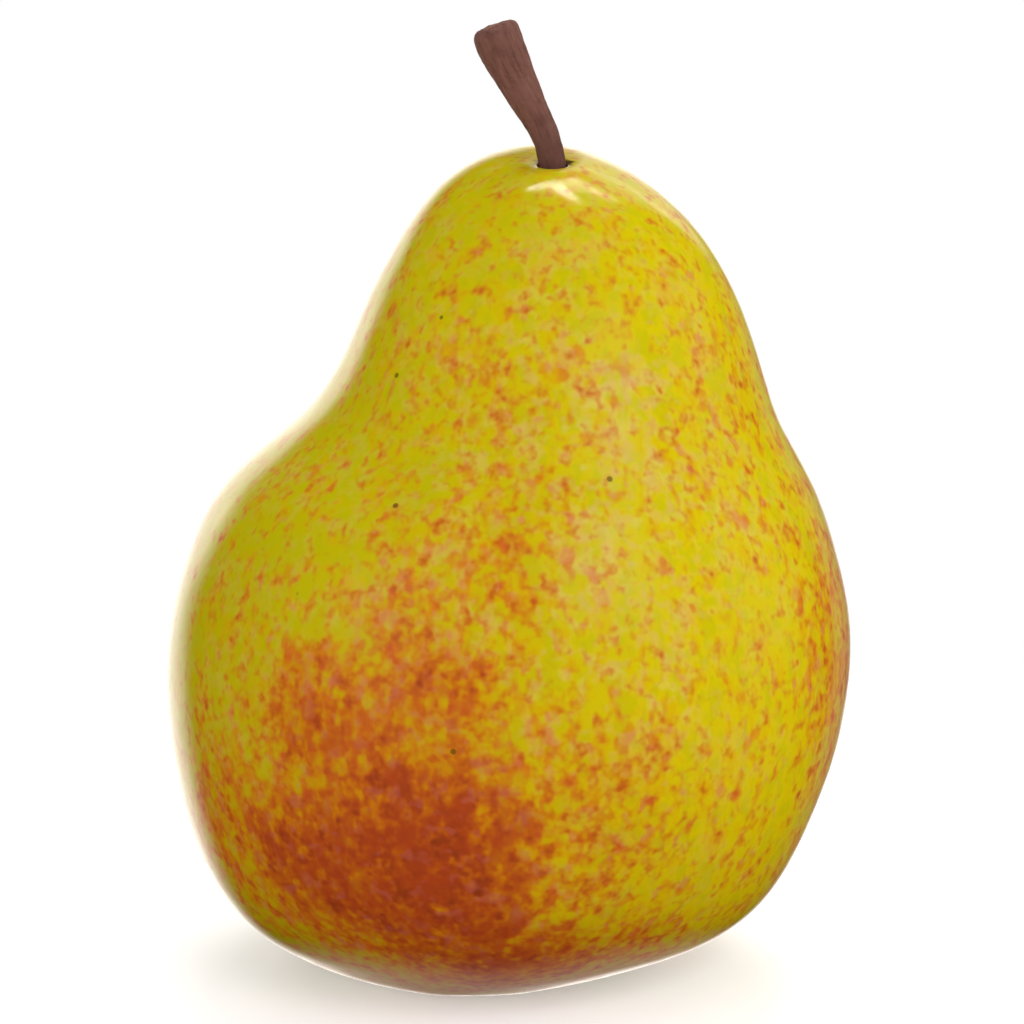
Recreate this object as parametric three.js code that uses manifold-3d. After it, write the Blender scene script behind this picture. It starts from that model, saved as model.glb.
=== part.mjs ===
// A ripe pear on its base: the fruit, its woody stem and the dried calyx underneath.
// Millimetres, +Z up, +X to the pear's right, -Y to its front. The pear rests on z = 0.
import * as THREE from 'three';
import { NURBSCurve } from 'three/addons/curves/NURBSCurve.js';
import { mergeVertices } from 'three/addons/utils/BufferGeometryUtils.js';
import Module from 'manifold-3d';

// Driving dimensions
const bodyWidth = 72;
const bodyDepth = 69;
const bodyHeight = 86.4;
const gap = 0.3; // clearance between two pieces that touch
const socketDepth = 4.5; // how far the stem goes into the fruit
const eyeDepth = 1.6; // the small cup that the stamens stand in
const eyeRadius = 2.2;
const sepalCount = 5;

// Rings of the skin from the calyx basin, over the base and up to the stem's socket.
// Each is a share of the height, then how far the skin stands out to the left, right,
// front and back as a share of the width or depth. A smooth curve is drawn past them.
const skinRings = [
  { up: 0.07, left: -0.05, right: -0.05, front: 0, back: 0 },
  { up: 0.065, left: -0.115, right: 0.01, front: -0.065, back: 0.065 },
  { up: 0.018, left: -0.175, right: 0.065, front: -0.125, back: 0.125 },
  { up: -0.018, left: -0.25, right: 0.13, front: -0.18, back: 0.185 },
  { up: 0.024, left: -0.335, right: 0.26, front: -0.28, back: 0.285 },
  { up: 0.072, left: -0.405, right: 0.37, front: -0.39, back: 0.375 },
  { up: 0.16, left: -0.465, right: 0.435, front: -0.475, back: 0.455 },
  { up: 0.285, left: -0.5, right: 0.495, front: -0.515, back: 0.5 },
  { up: 0.415, left: -0.505, right: 0.51, front: -0.52, back: 0.505 },
  { up: 0.53, left: -0.467, right: 0.48, front: -0.49, back: 0.47 },
  { up: 0.615, left: -0.41, right: 0.44, front: -0.435, back: 0.42 },
  { up: 0.68, left: -0.293, right: 0.39, front: -0.37, back: 0.355 },
  { up: 0.76, left: -0.235, right: 0.365, front: -0.32, back: 0.31 },
  { up: 0.84, left: -0.2, right: 0.33, front: -0.275, back: 0.27 },
  { up: 0.91, left: -0.152, right: 0.279, front: -0.232, back: 0.225 },
  { up: 0.966, left: -0.102, right: 0.208, front: -0.178, back: 0.175 },
  { up: 0.995, left: -0.04, right: 0.135, front: -0.12, back: 0.125 },
  { up: 1.003, left: 0.01, right: 0.112, front: -0.095, back: 0.055 },
  { up: 1.002, left: 0.064, right: 0.064, front: -0.048, back: -0.048 },
];
const skinRows = 46;
const skinSides = 50;

// Five shallow lobes swell the base and die away up the fruit.
const lobeCount = 5;
const lobeSwell = 0.022;
const lobeTurn = THREE.MathUtils.degToRad(20);
const lobeTop = 0.3; // share of the height where they end

// The crown leans to the front: its back rises and its front sinks, from crownFrom upwards.
const crownTilt = 0.1;
const crownFrom = 0.78;

// Middle line of the stem above the place where it enters the fruit, and its radius there.
const stemStations = [
  { x: 0.1, y: 0.1, z: -socketDepth, radius: 1.4 },
  { x: 0.1, y: 0, z: 0, radius: 1.4 },
  { x: -0.7, y: 0.4, z: 2.7, radius: 1.42 },
  { x: -1.55, y: 0.7, z: 4.35, radius: 1.52 },
  { x: -3.2, y: 1.2, z: 7.5, radius: 1.96 },
  { x: -4.6, y: 1.7, z: 10.6, radius: 2.33 },
  { x: -5.45, y: 2, z: 12.6, radius: 2.45 },
  { x: -5.9, y: 2.1, z: 13.8, radius: 1.8 },
];
const stemRows = 18;
const stemSides = 14;
const socketRows = 5;

// Middle line of a sepal: how far out from the middle of the eye, how far below the basin's
// floor, and half the leaf's width there.
const sepalStations = [
  { out: 2.5, drop: 0.75, halfWidth: 0.8 },
  { out: 3.6, drop: 1.2, halfWidth: 1.35 },
  { out: 4.7, drop: 2.15, halfWidth: 1.1 },
  { out: 5.3, drop: 3.1, halfWidth: 0.6 },
  { out: 5.1, drop: 3.8, halfWidth: 0.2 },
];
const sepalHalfThickness = 0.22;
const sepalSides = 8;
const tuftDrop = 1.7; // how far the stamens hang below the basin's floor
const eyeSides = 14;
const eyeTaper = 0.7; // width at the eye's closed end, as a share of its mouth

const upward = new THREE.Vector3(0, 0, 1);

const wasm = await Module();
wasm.setup();

const skinMaterial = new THREE.MeshStandardMaterial({ color: '#d2ae1c', roughness: 0.22, metalness: 0 });
const stemMaterial = new THREE.MeshStandardMaterial({ color: '#774b41', roughness: 0.75, metalness: 0 });
const calyxMaterial = new THREE.MeshStandardMaterial({ color: '#5c4026', roughness: 0.85, metalness: 0 });

// A closed skin over rings of points, with a point in the middle of each end.
function loft(rings) {
  const sides = rings[0].length;
  const positions = [];
  const middleOf = (ring) => ring
    .reduce((sum, point) => sum.add(point), new THREE.Vector3())
    .divideScalar(ring.length);
  const ends = [middleOf(rings[0]), middleOf(rings[rings.length - 1])];
  for (const point of [...rings.flat(), ...ends]) {
    positions.push(point.x, point.y, point.z);
  }
  const bottom = rings.length * sides;
  const top = bottom + 1;
  const lastRow = (rings.length - 1) * sides;
  const faces = [];
  for (let side = 0; side < sides; side += 1) {
    const next = (side + 1) % sides;
    faces.push(bottom, next, side);
    faces.push(top, lastRow + side, lastRow + next);
    for (let row = 0; row < rings.length - 1; row += 1) {
      const low = row * sides;
      const high = low + sides;
      faces.push(low + side, low + next, high + next);
      faces.push(low + side, high + next, high + side);
    }
  }
  const geometry = new THREE.BufferGeometry();
  geometry.setAttribute('position', new THREE.Float32BufferAttribute(positions, 3));
  geometry.setIndex(faces);
  return geometry;
}

// The middle points of a loft's two ends, the last two that it holds.
function endPoints(geometry) {
  const points = geometry.getAttribute('position');
  return [points.count - 2, points.count - 1]
    .map((index) => new THREE.Vector3().fromBufferAttribute(points, index));
}

// A block with its top at z = 0, with the corners of its six faces merged.
function belowGround() {
  const geometry = new THREE.BoxGeometry(2 * bodyWidth, 2 * bodyDepth, bodyHeight);
  geometry.deleteAttribute('normal');
  geometry.deleteAttribute('uv');
  return mergeVertices(geometry).translate(0, 0, -bodyHeight / 2);
}

function toSolid(geometry) {
  return new wasm.Manifold(new wasm.Mesh({
    numProp: 3,
    vertProperties: new Float32Array(geometry.getAttribute('position').array),
    triVerts: new Uint32Array(geometry.getIndex().array),
  }));
}

function toGeometry(solid) {
  const mesh = solid.getMesh();
  const geometry = new THREE.BufferGeometry();
  geometry.setAttribute('position', new THREE.BufferAttribute(mesh.vertProperties, 3));
  geometry.setIndex(new THREE.BufferAttribute(mesh.triVerts, 1));
  return geometry;
}

// An even cubic curve drawn past the given points, with its first and last spans left off.
function smoothCurve(points) {
  const degree = 3;
  const knots = Array.from({ length: points.length + degree + 1 }, (_, index) => index);
  const controls = points.map((point) => new THREE.Vector4(point.x, point.y, point.z, 1));
  return new NURBSCurve(degree, knots, controls, degree, points.length);
}

// One side's outline from pole to pole. Past each pole it goes on down the opposite side.
function sideCurve(side, opposite, axis) {
  const place = (ring, name) => {
    const point = new THREE.Vector3(0, 0, ring.up);
    point[axis] = ring[name];
    return point;
  };
  const first = place(skinRings[1], opposite);
  const last = place(skinRings[skinRings.length - 2], opposite);
  return smoothCurve([first, ...skinRings.map((ring) => place(ring, side)), last]);
}

function lobeFactor(share, angle) {
  const strength = 1 - THREE.MathUtils.smoothstep(share, 0, lobeTop);
  return 1 + lobeSwell * strength * Math.cos(lobeCount * (angle + lobeTurn));
}

function skinRing(sides, part) {
  const [left, right, front, back] = sides.map((curve) => curve.getPoint(part));
  return Array.from({ length: skinSides }, (_, index) => {
    const angle = (index / skinSides) * 2 * Math.PI;
    const swell = lobeFactor(left.z, angle);
    const x = (left.x + right.x) / 2 + ((right.x - left.x) / 2) * swell * Math.cos(angle);
    const y = (front.y + back.y) / 2 + ((back.y - front.y) / 2) * swell * Math.sin(angle);
    const tilt = crownTilt * THREE.MathUtils.smoothstep(left.z, crownFrom, 1);
    return new THREE.Vector3(x, y, left.z + tilt * y);
  });
}

// The fruit's outside before it is cut, stretched to the driving dimensions.
function skinGeometry() {
  const sides = [
    sideCurve('left', 'right', 'x'),
    sideCurve('right', 'left', 'x'),
    sideCurve('front', 'back', 'y'),
    sideCurve('back', 'front', 'y'),
  ];
  const rings = Array.from({ length: skinRows }, (_, row) => skinRing(sides, (row + 0.5) / skinRows));
  const geometry = loft(rings);
  geometry.computeBoundingBox();
  const { min, max } = geometry.boundingBox;
  geometry.translate(-(min.x + max.x) / 2, -(min.y + max.y) / 2, 0);
  geometry.scale(bodyWidth / (max.x - min.x), bodyDepth / (max.y - min.y), bodyHeight / max.z);
  return geometry;
}

// A round ring of points about a middle, square to a direction.
function roundRing(middle, direction, radius, sides) {
  const turn = new THREE.Quaternion().setFromUnitVectors(upward, direction);
  return Array.from({ length: sides }, (_, index) => {
    const angle = (index / sides) * 2 * Math.PI;
    const point = new THREE.Vector3(radius * Math.cos(angle), radius * Math.sin(angle), 0);
    return point.applyQuaternion(turn).add(middle);
  });
}

// A round tube along a line through the stations, each with its own radius.
function taperedTube(stations, rows, sides) {
  const line = new THREE.CatmullRomCurve3(stations.map(({ x, y, z }) => new THREE.Vector3(x, y, z)));
  const spans = stations.length - 1;
  const rings = Array.from({ length: rows }, (_, row) => {
    const part = row / (rows - 1);
    const low = Math.min(Math.floor(part * spans), spans - 1);
    const radius = THREE.MathUtils.lerp(stations[low].radius, stations[low + 1].radius, part * spans - low);
    return roundRing(line.getPoint(part), line.getTangent(part), radius, sides);
  });
  return loft(rings);
}

// The hole for the stem: the stem's own foot, one gap bigger all round.
function stemSocket() {
  const [foot, mouth] = stemStations;
  const stations = [
    { ...foot, z: foot.z - gap },
    mouth,
    { ...mouth, z: socketDepth },
  ];
  const widened = stations.map((station) => ({ ...station, radius: station.radius + gap }));
  return taperedTube(widened, socketRows, stemSides);
}

// The eye in the middle of the basin, a cup open downwards, or the smaller tuft that it holds.
function eyePlug(low, high, radius) {
  const rings = [
    roundRing(new THREE.Vector3(0, 0, low), upward, radius, eyeSides),
    roundRing(new THREE.Vector3(0, 0, high / 2), upward, radius, eyeSides),
    roundRing(new THREE.Vector3(0, 0, high), upward, radius * eyeTaper, eyeSides),
  ];
  return loft(rings);
}

// One dried leaf that stands out from the eye and curls down, tapering to its tip.
function sepal(angle) {
  const sections = sepalStations.map(({ out, drop, halfWidth }) => {
    return Array.from({ length: sepalSides }, (_, index) => {
      const around = (index / sepalSides) * 2 * Math.PI;
      const rise = sepalHalfThickness * Math.sin(around);
      return new THREE.Vector3(out + rise, halfWidth * Math.cos(around), rise - drop);
    });
  });
  return loft(sections).rotateZ(angle);
}

function addPiece(name, geometry, material) {
  const mesh = new THREE.Mesh(geometry, material);
  mesh.name = name;
  pear.add(mesh);
}

const pear = new THREE.Group();
const skin = skinGeometry();
const [basinFloor, stemFoot] = endPoints(skin);

// Everything of the fruit below the ground is cut off, which leaves the flat ring that it rests on.
const body = toSolid(skin)
  .subtract(toSolid(belowGround()))
  .subtract(toSolid(stemSocket().translate(...stemFoot)))
  .subtract(toSolid(eyePlug(-eyeDepth, eyeDepth, eyeRadius).translate(...basinFloor)));
addPiece('pear_body', toGeometry(body), skinMaterial);
addPiece('stem', taperedTube(stemStations, stemRows, stemSides).translate(...stemFoot), stemMaterial);

for (let index = 0; index < sepalCount; index += 1) {
  const leaf = sepal((index / sepalCount) * 2 * Math.PI).translate(...basinFloor);
  addPiece(`sepal_${index + 1}`, leaf, calyxMaterial);
}
const tuft = eyePlug(-tuftDrop, eyeDepth - gap, eyeRadius - gap).translate(...basinFloor);
addPiece('dried_stamens', tuft, calyxMaterial);

export default pear;
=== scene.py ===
# A ripe pear on a pale floor: glossy flecked skin, woody stem, dried calyx underneath.
# Everything is in metres, in the frame of the CAD model.
from math import atan2, cos, hypot, pi, radians, sin

import bpy
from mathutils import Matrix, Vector


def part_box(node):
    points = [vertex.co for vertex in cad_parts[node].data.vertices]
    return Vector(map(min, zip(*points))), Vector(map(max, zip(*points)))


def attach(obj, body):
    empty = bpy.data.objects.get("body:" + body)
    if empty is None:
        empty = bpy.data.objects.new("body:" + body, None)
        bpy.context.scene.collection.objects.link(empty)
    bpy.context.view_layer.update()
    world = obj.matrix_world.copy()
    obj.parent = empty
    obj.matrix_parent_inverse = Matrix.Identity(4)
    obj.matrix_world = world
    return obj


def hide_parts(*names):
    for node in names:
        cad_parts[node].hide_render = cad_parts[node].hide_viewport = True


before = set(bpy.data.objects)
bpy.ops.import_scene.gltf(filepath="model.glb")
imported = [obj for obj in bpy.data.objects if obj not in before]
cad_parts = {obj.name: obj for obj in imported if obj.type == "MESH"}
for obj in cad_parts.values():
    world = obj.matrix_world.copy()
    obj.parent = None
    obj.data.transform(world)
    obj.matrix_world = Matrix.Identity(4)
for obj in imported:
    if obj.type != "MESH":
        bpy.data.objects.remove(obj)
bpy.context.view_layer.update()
mm = 0.001
seamGap = 0.01 * mm  # points closer than this are one
noiseSwing = 4.0  # noise strays about a quarter from its middle
copyShift = 0.4  # how far the wrinkles of a copy follow its place
bodyLow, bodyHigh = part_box("pear_body")
stemLow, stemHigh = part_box("stem")
tuftLow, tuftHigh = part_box("dried_stamens")
# where the middle of the stem enters the fruit, measured from the sides of the stem's box
stemFoot = Vector((stemHigh.x - 1.5 * mm, stemLow.y + 1.4 * mm, stemLow.z + 4.5 * mm))
print("frame loaded")


# Small helpers for node trees

def addNode(tree, kind, inputs=None, **settings):
    node = tree.nodes.new(kind)
    for name, value in settings.items():
        setattr(node, name, value)
    for name, value in (inputs or {}).items():
        if isinstance(value, bpy.types.NodeSocket):
            tree.links.new(value, node.inputs[name])
        else:
            node.inputs[name].default_value = value
    return node


def maths(tree, operation, *values):
    return addNode(tree, "ShaderNodeMath", dict(enumerate(values)), operation=operation).outputs[0]


def vectorMaths(tree, operation, *values):
    node = addNode(tree, "ShaderNodeVectorMath", dict(enumerate(values)), operation=operation)
    return node.outputs["Value" if operation == "LENGTH" else "Vector"]


def scaled(tree, vector, factor):
    node = addNode(tree, "ShaderNodeVectorMath", {0: vector, "Scale": factor}, operation="SCALE")
    return node.outputs["Vector"]


def placed(tree, mesh, positions):
    return addNode(tree, "GeometryNodeSetPosition", {"Geometry": mesh, "Position": positions}).outputs[0]


# Moves the points of a mesh along its normals
def pushOut(tree, mesh, distance):
    push = scaled(tree, addNode(tree, "GeometryNodeInputNormal").outputs[0], distance)
    return addNode(tree, "GeometryNodeSetPosition", {"Geometry": mesh, "Offset": push}).outputs[0]


def split(tree, vector):
    return addNode(tree, "ShaderNodeSeparateXYZ", {0: vector}).outputs


def join(tree, x=0.0, y=0.0, z=0.0):
    return addNode(tree, "ShaderNodeCombineXYZ", {0: x, 1: y, 2: z}).outputs[0]


def remap(tree, value, low, high, toLow=0.0, toHigh=1.0):
    inputs = {"Value": value, "From Min": low, "From Max": high, "To Min": toLow, "To Max": toHigh}
    return addNode(tree, "ShaderNodeMapRange", inputs, interpolation_type="SMOOTHSTEP").outputs[0]


def noise(tree, place, scale, detail=2.0, roughness=0.5):
    inputs = {"Vector": place, "Scale": scale, "Detail": detail, "Roughness": roughness}
    return addNode(tree, "ShaderNodeTexNoise", inputs)


def newTree(name, inputs):
    tree = bpy.data.node_groups.new(name, "GeometryNodeTree")
    tree.is_modifier = True
    tree.interface.new_socket("Geometry", in_out="INPUT", socket_type="NodeSocketGeometry")
    tree.interface.new_socket("Geometry", in_out="OUTPUT", socket_type="NodeSocketGeometry")
    for label, kind in inputs.items():
        tree.interface.new_socket(label, in_out="INPUT", socket_type="NodeSocket" + kind)
    return tree, addNode(tree, "NodeGroupInput").outputs, addNode(tree, "NodeGroupOutput")


def finishTree(tree, output, mesh, material):
    smooth = addNode(tree, "GeometryNodeSetShadeSmooth", {"Geometry": mesh})
    real = addNode(tree, "GeometryNodeRealizeInstances", {"Geometry": smooth.outputs[0]})
    painted = addNode(tree, "GeometryNodeSetMaterial", {"Geometry": real.outputs[0], "Material": material})
    tree.links.new(painted.outputs[0], output.inputs[0])


def named(tree, attribute, kind="FLOAT"):
    return addNode(tree, "GeometryNodeInputNamedAttribute", {"Name": attribute}, data_type=kind).outputs[0]


# A grid with a column for each row of a ring table. Gives the mesh, the share of the way through
# the table and round a ring, and a function that looks a value of the table up.
def ringGrid(tree, given):
    table = given["Geometry"]
    rings = addNode(tree, "GeometryNodeAttributeDomainSize", {"Geometry": table}).outputs[0]
    grid = addNode(tree, "GeometryNodeMeshGrid", {
        "Size X": 1.0, "Size Y": 1.0, "Vertices X": rings,
        "Vertices Y": maths(tree, "ADD", given["Sides"], 1.0)})
    part, turn, _ = split(tree, grid.outputs["UV Map"])
    row = maths(tree, "ROUND", maths(tree, "MULTIPLY", part, maths(tree, "SUBTRACT", rings, 1.0)))

    def ringValue(name):
        inputs = {"Geometry": table, "Value": named(tree, name), "Index": row}
        return addNode(tree, "GeometryNodeSampleIndex", inputs, data_type="FLOAT").outputs[0]

    return grid.outputs[0], part, turn, ringValue


# Turns the faces outwards, closes the seam and smooths the cage
def closedSkin(tree, cage, levels):
    outward = addNode(tree, "GeometryNodeFlipFaces", {"Mesh": cage}).outputs[0]
    closed = addNode(tree, "GeometryNodeMergeByDistance", {"Geometry": outward, "Distance": seamGap})
    inputs = {"Mesh": closed.outputs[0], "Level": levels}
    return addNode(tree, "GeometryNodeSubdivisionSurface", inputs).outputs[0]


def store(tree, mesh, attribute, value, kind="FLOAT", domain="POINT"):
    node = addNode(tree, "GeometryNodeStoreNamedAttribute", {"Geometry": mesh, "Name": attribute},
                   data_type=kind, domain=domain)
    tree.links.new(value, node.inputs["Value"])
    return node.outputs[0]


# An object whose mesh is one point for each row of a table, with the row's values as attributes
def pointsObject(name, rows):
    places = [(row.get("x", 0), row.get("y", 0), row.get("z", 0)) for row in rows]
    mesh = bpy.data.meshes.new(name)
    mesh.from_pydata(places, [], [])
    for key in rows[0]:
        if key not in ("x", "y", "z"):
            values = mesh.attributes.new(key, "FLOAT", "POINT")
            values.data.foreach_set("value", [row[key] for row in rows])
    made = bpy.data.objects.new(name, mesh)
    bpy.context.scene.collection.objects.link(made)
    return made


# Runs a tree on an object, then keeps its result as a plain mesh
def growMesh(made, tree, values):
    modifier = made.modifiers.new(tree.name, "NODES")
    modifier.node_group = tree
    for item in tree.interface.items_tree:
        if item.in_out == "INPUT" and item.name in values:
            modifier[item.identifier] = values[item.name]
    bpy.context.view_layer.update()
    grown = made.evaluated_get(bpy.context.evaluated_depsgraph_get())
    mesh = bpy.data.meshes.new_from_object(grown)
    made.modifiers.clear()
    made.data = mesh
    mesh.name = made.name
    return made


# Small helpers for materials

def newMaterial(name):
    material = bpy.data.materials.new(name)
    material.use_nodes = True
    tree = material.node_tree
    return material, tree, tree.nodes["Principled BSDF"]


def finishSurface(tree, shader, colour, roughness, height, look):
    tree.links.new(colour, shader.inputs["Base Color"])
    tree.links.new(roughness, shader.inputs["Roughness"])
    bump = addNode(tree, "ShaderNodeBump", {
        "Strength": look["bump"], "Distance": look["bumpDepth"], "Height": height})
    tree.links.new(bump.outputs[0], shader.inputs["Normal"])


# Colours as a colour picker shows them, 0 to 255
def paint(red, green, blue):
    def linear(share):
        return share / 12.92 if share < 0.04 else ((share + 0.055) / 1.055) ** 2.4

    return linear(red / 255), linear(green / 255), linear(blue / 255), 1


def blend(tree, factor, a, b):
    return addNode(tree, "ShaderNodeMix", {0: factor, 6: a, 7: b}, data_type="RGBA").outputs[2]


# Lays a paint over a colour. A layer says at which level of the value it begins, at which it is
# full, and how strong it is there.
def tinted(tree, colour, value, layer, top):
    begins, full, amount = layer
    return blend(tree, remap(tree, value, begins, full, 0.0, amount), colour, top)


# Camera, lights and floor

studio = {
    "lens": 150,
    "distance": 0.448,
    "elevation": 12,
    "aimHeight": 0.4845,  # share of the pear's height
    "aimRight": 0.37 * mm,
    "paper": (1.0, 1.0, 1.0),
    "roomLight": 0.5,
    "floorSides": 64,
    "floorRadius": 0.3,
    "floorSolid": 0.05,  # the floor thins out to nothing between these two distances
    "floorEnd": 0.15,
    "floorGlow": 0.35,
    "floorGrain": 900.0,  # swellings to the metre
    "floorShade": (0.93, 0.96),
    "cardColour": (1.0, 0.93, 0.86),
    "glintReach": 28 * mm,  # the pale gleam of the table low on the fruit
    "glintDrop": 0.2 * mm,  # how far it lies under the floor
    "glintSoft": 8 * mm,
    "glintGlow": 0.42,
    "glintColour": (1.0, 0.8, 0.68),
    "bounceGrey": (0.8, 0.68, 0.52),  # what the fruit's underside gets back from the table
    "bounceGlow": 0.05,
    "bounceDrop": 0.5 * mm,  # how far it lies under the floor
    "drumRadius": 4,
    "drumSides": 48,
}
# Soft lamps turned towards the pear; the glossy skin doesn't mirror them
lamps = {
    "keyLamp": {"place": (0.42, -0.62, 0.52), "size": (0.5, 0.5), "power": 2.7},
    "fillLamp": {"place": (-0.6, -0.62, 0.3), "size": (0.6, 0.6), "power": 2.2},
    "rightLamp": {"place": (0.75, 0.05, 0.2), "size": (0.4, 0.5), "power": 1.9},
    "topLamp": {"place": (0.05, 0.4, 0.6), "size": (0.4, 0.3), "power": 1.9},
    "backLamp": {"place": (-0.25, 0.8, 0.35), "size": (0.5, 0.5), "power": 1.6},
}
# Glowing cards with soft edges, seen only mirrored in glossy surfaces; roll turns a card in its own
# plane
cards = {
    "rimCard": {"place": (-0.18, 0.68, -0.05), "size": (1.04, 0.86), "roll": 0, "glow": 1.7, "soft": 0.55},
    "rightCard": {"place": (0.38, 0.6, -0.05), "size": (0.5, 0.8), "roll": 0, "glow": 0.22, "soft": 0.8},
    "neckCard": {"place": (-0.5, 0.62, 0.15), "size": (0.34, 0.34), "roll": 0, "glow": 0.5, "soft": 0.8},
    "crownCard": {"place": (0.18, 0.59, 0.37), "size": (0.42, 0.56), "roll": 0, "glow": 0.8, "soft": 0.4},
    "crownStrip": {"place": (0.223, 0.505, 0.405), "size": (0.5, 0.06), "roll": 63, "glow": 0.9,
                   "soft": 0.6},
    "barStrip": {"place": (0.05, 0.167, 0.7), "size": (0.36, 0.06), "roll": 17, "glow": 11.0, "soft": 0.4},
    "bendStrip": {"place": (0.23, 0.3, 0.7), "size": (0.46, 0.05), "roll": 90, "glow": 5.0, "soft": 0.5},
    "hazeCard": {"place": (0.42, -0.46, 0.4), "size": (0.34, 0.5), "roll": 0, "glow": 0.2, "soft": 0.8},
}


def glowMaterial(name, colour):
    material, tree, _ = newMaterial(name)
    tree.nodes.clear()
    glow = addNode(tree, "ShaderNodeEmission", {"Color": (*colour, 1), "Strength": 1.0})
    addNode(tree, "ShaderNodeOutputMaterial", {"Surface": glow.outputs[0]})
    return material


# Glow of a given strength that hides nothing behind it
def letThrough(tree, strength):
    glow = tree.nodes["Emission"]
    tree.links.new(strength, glow.inputs["Strength"])
    clear = addNode(tree, "ShaderNodeBsdfTransparent")
    both = addNode(tree, "ShaderNodeAddShader", {0: glow.outputs[0], 1: clear.outputs[0]})
    tree.links.new(both.outputs[0], tree.nodes["Material Output"].inputs["Surface"])


# A card glows in the middle and fades towards its edges
def cardMaterial(name, card):
    material = glowMaterial(name, studio["cardColour"])
    tree = material.node_tree
    x, y, _ = split(tree, addNode(tree, "ShaderNodeTexCoord").outputs["Object"])
    fades = []
    for value, size in zip((x, y), card["size"]):
        share = maths(tree, "MULTIPLY", maths(tree, "ABSOLUTE", value), 2 / size)
        fades.append(remap(tree, share, 1.0, 1 - card["soft"]))
    letThrough(tree, maths(tree, "MULTIPLY", maths(tree, "MULTIPLY", *fades), card["glow"]))
    return material


def glintMaterial():
    material = glowMaterial("tableGlint", studio["glintColour"])
    tree = material.node_tree
    away = vectorMaths(tree, "LENGTH", addNode(tree, "ShaderNodeTexCoord").outputs["Object"])
    fade = remap(tree, away, studio["glintReach"], studio["glintReach"] - studio["glintSoft"])
    letThrough(tree, maths(tree, "MULTIPLY", fade, studio["glintGlow"]))
    return material


# Matt, with a faint glow of its own
def bounceMaterial():
    material, _, shader = newMaterial("bounceGrey")
    colour = (*studio["bounceGrey"], 1)
    settings = {"Base Color": colour, "Roughness": 1.0, "Specular IOR Level": 0.0,
                "Emission Color": colour, "Emission Strength": studio["bounceGlow"]}
    for name, value in settings.items():
        shader.inputs[name].default_value = value
    return material


def floorMaterial():
    material, tree, _ = newMaterial("paleFloor")
    tree.nodes.clear()
    place = addNode(tree, "ShaderNodeTexCoord").outputs["Object"]
    away = vectorMaths(tree, "LENGTH", place)
    thin = remap(tree, away, studio["floorSolid"], studio["floorEnd"])
    grain = noise(tree, place, studio["floorGrain"], 3.0).outputs[0]
    shade = remap(tree, grain, 0.3, 0.7, *studio["floorShade"])
    grey = addNode(tree, "ShaderNodeCombineColor", {0: shade, 1: shade, 2: shade})
    card = addNode(tree, "ShaderNodeBsdfDiffuse", {"Color": grey.outputs[0]})
    glow = addNode(tree, "ShaderNodeEmission", {"Strength": studio["floorGlow"]})
    lit = addNode(tree, "ShaderNodeAddShader", {0: card.outputs[0], 1: glow.outputs[0]})
    clear = addNode(tree, "ShaderNodeBsdfTransparent")
    mixed = addNode(tree, "ShaderNodeMixShader", {0: thin, 1: lit.outputs[0], 2: clear.outputs[0]})
    addNode(tree, "ShaderNodeOutputMaterial", {"Surface": mixed.outputs[0]})
    return material


def stageObject(name, vertices, faces, material):
    mesh = bpy.data.meshes.new(name)
    mesh.from_pydata(vertices, [], faces)
    mesh.materials.append(material)
    made = bpy.data.objects.new(name, mesh)
    bpy.context.scene.collection.objects.link(made)
    return made


def rectangle(width, height):
    w, h = width / 2, height / 2
    return [(-w, -h, 0), (w, -h, 0), (w, h, 0), (-w, h, 0)], [(0, 1, 2, 3)]


def disc(radius):
    sides = studio["floorSides"]
    angles = [2 * pi * i / sides for i in range(sides)]
    return [(radius * cos(angle), radius * sin(angle), 0) for angle in angles], [tuple(range(sides))]


def faceTowards(made, place, target):
    made.location = place
    made.rotation_euler = (Vector(target) - Vector(place)).to_track_quat("-Z", "Y").to_euler()


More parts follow.
